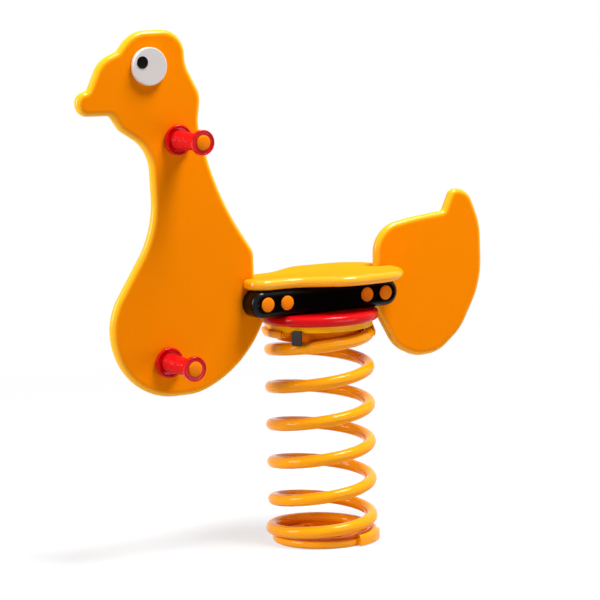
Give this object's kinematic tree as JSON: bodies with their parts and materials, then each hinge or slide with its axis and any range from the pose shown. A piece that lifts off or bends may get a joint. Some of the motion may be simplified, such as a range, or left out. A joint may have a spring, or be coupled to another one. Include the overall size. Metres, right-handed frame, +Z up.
{
  "type": "spring rider",
  "caption": "Playground spring rider: a bird-shaped seat of flat rounded panels with handle and footrest pegs, bolted between beams on a coil spring that rocks fore, aft and sideways.",
  "frame": {"origin": "middle of the base plate's underside, on the spring's axis, in the middle of the ground bolt circle", "axes": "+Z up along the spring, +X towards the tail (the head is at -X), +Y towards the rider's right hand"},
  "size_m": [0.8326, 0.223, 0.9425],
  "materials": {
    "spring_paint": "gloss powder coat",
    "stop_rubber": "matt",
    "red_plastic": "gloss",
    "zinc_steel": "zinc plated",
    "insert_brass": "plain",
    "black_plastic": "satin",
    "cap_plastic": "gloss",
    "panel_plastic": "semi-gloss",
    "seat_plastic": "semi-gloss",
    "eye_plastic": "gloss",
    "pupil_plastic": "gloss"
  },
  "bodies": {
    "base": {"base_plate": "spring_paint", "lower_coil_straps": "spring_paint"},
    "spring": {"spring": "spring_paint"},
    "rider": {"upper_coil_straps": "spring_paint", "spring_guide": "spring_paint", "top_plate": "spring_paint", "rubber_stop": "stop_rubber", "spacer_disc": "red_plastic", "plate_bolts": "zinc_steel", "plate_washers": "zinc_steel", "plate_inserts": "insert_brass", "left_beam": "black_plastic", "right_beam": "black_plastic", "beam_bolts": "zinc_steel", "beam_washers": "zinc_steel", "beam_nuts": "zinc_steel", "left_beam_caps": "cap_plastic", "right_beam_caps": "cap_plastic", "front_panel": "panel_plastic", "tail_panel": "panel_plastic", "seat": "seat_plastic", "seat_screws": "zinc_steel", "handle_rod": "zinc_steel", "left_handle_grip": "red_plastic", "right_handle_grip": "red_plastic", "handle_nuts": "zinc_steel", "left_handle_cap": "cap_plastic", "right_handle_cap": "cap_plastic", "footrest_rod": "zinc_steel", "left_footrest_grip": "red_plastic", "right_footrest_grip": "red_plastic", "footrest_nuts": "zinc_steel", "left_footrest_cap": "cap_plastic", "right_footrest_cap": "cap_plastic", "left_eye": "eye_plastic", "right_eye": "eye_plastic", "left_pupil": "pupil_plastic", "right_pupil": "pupil_plastic"}
  },
  "joints": [
    {"name": "rock_fore_aft", "type": "hinge", "parent": "base", "child": "spring", "pos_m": [0, 0, 0.166], "axis": [0, 1, 0], "range_deg": [-20, 20], "stiffness_Nm_per_rad": 430, "deforming": ["spring"]},
    {"name": "rock_sideways", "type": "hinge", "parent": "spring", "child": "rider", "pos_m": [0, 0, 0.242], "axis": [1, 0, 0], "range_deg": [-14, 14], "stiffness_Nm_per_rad": 430, "deforming": ["spring"]}
  ]
}
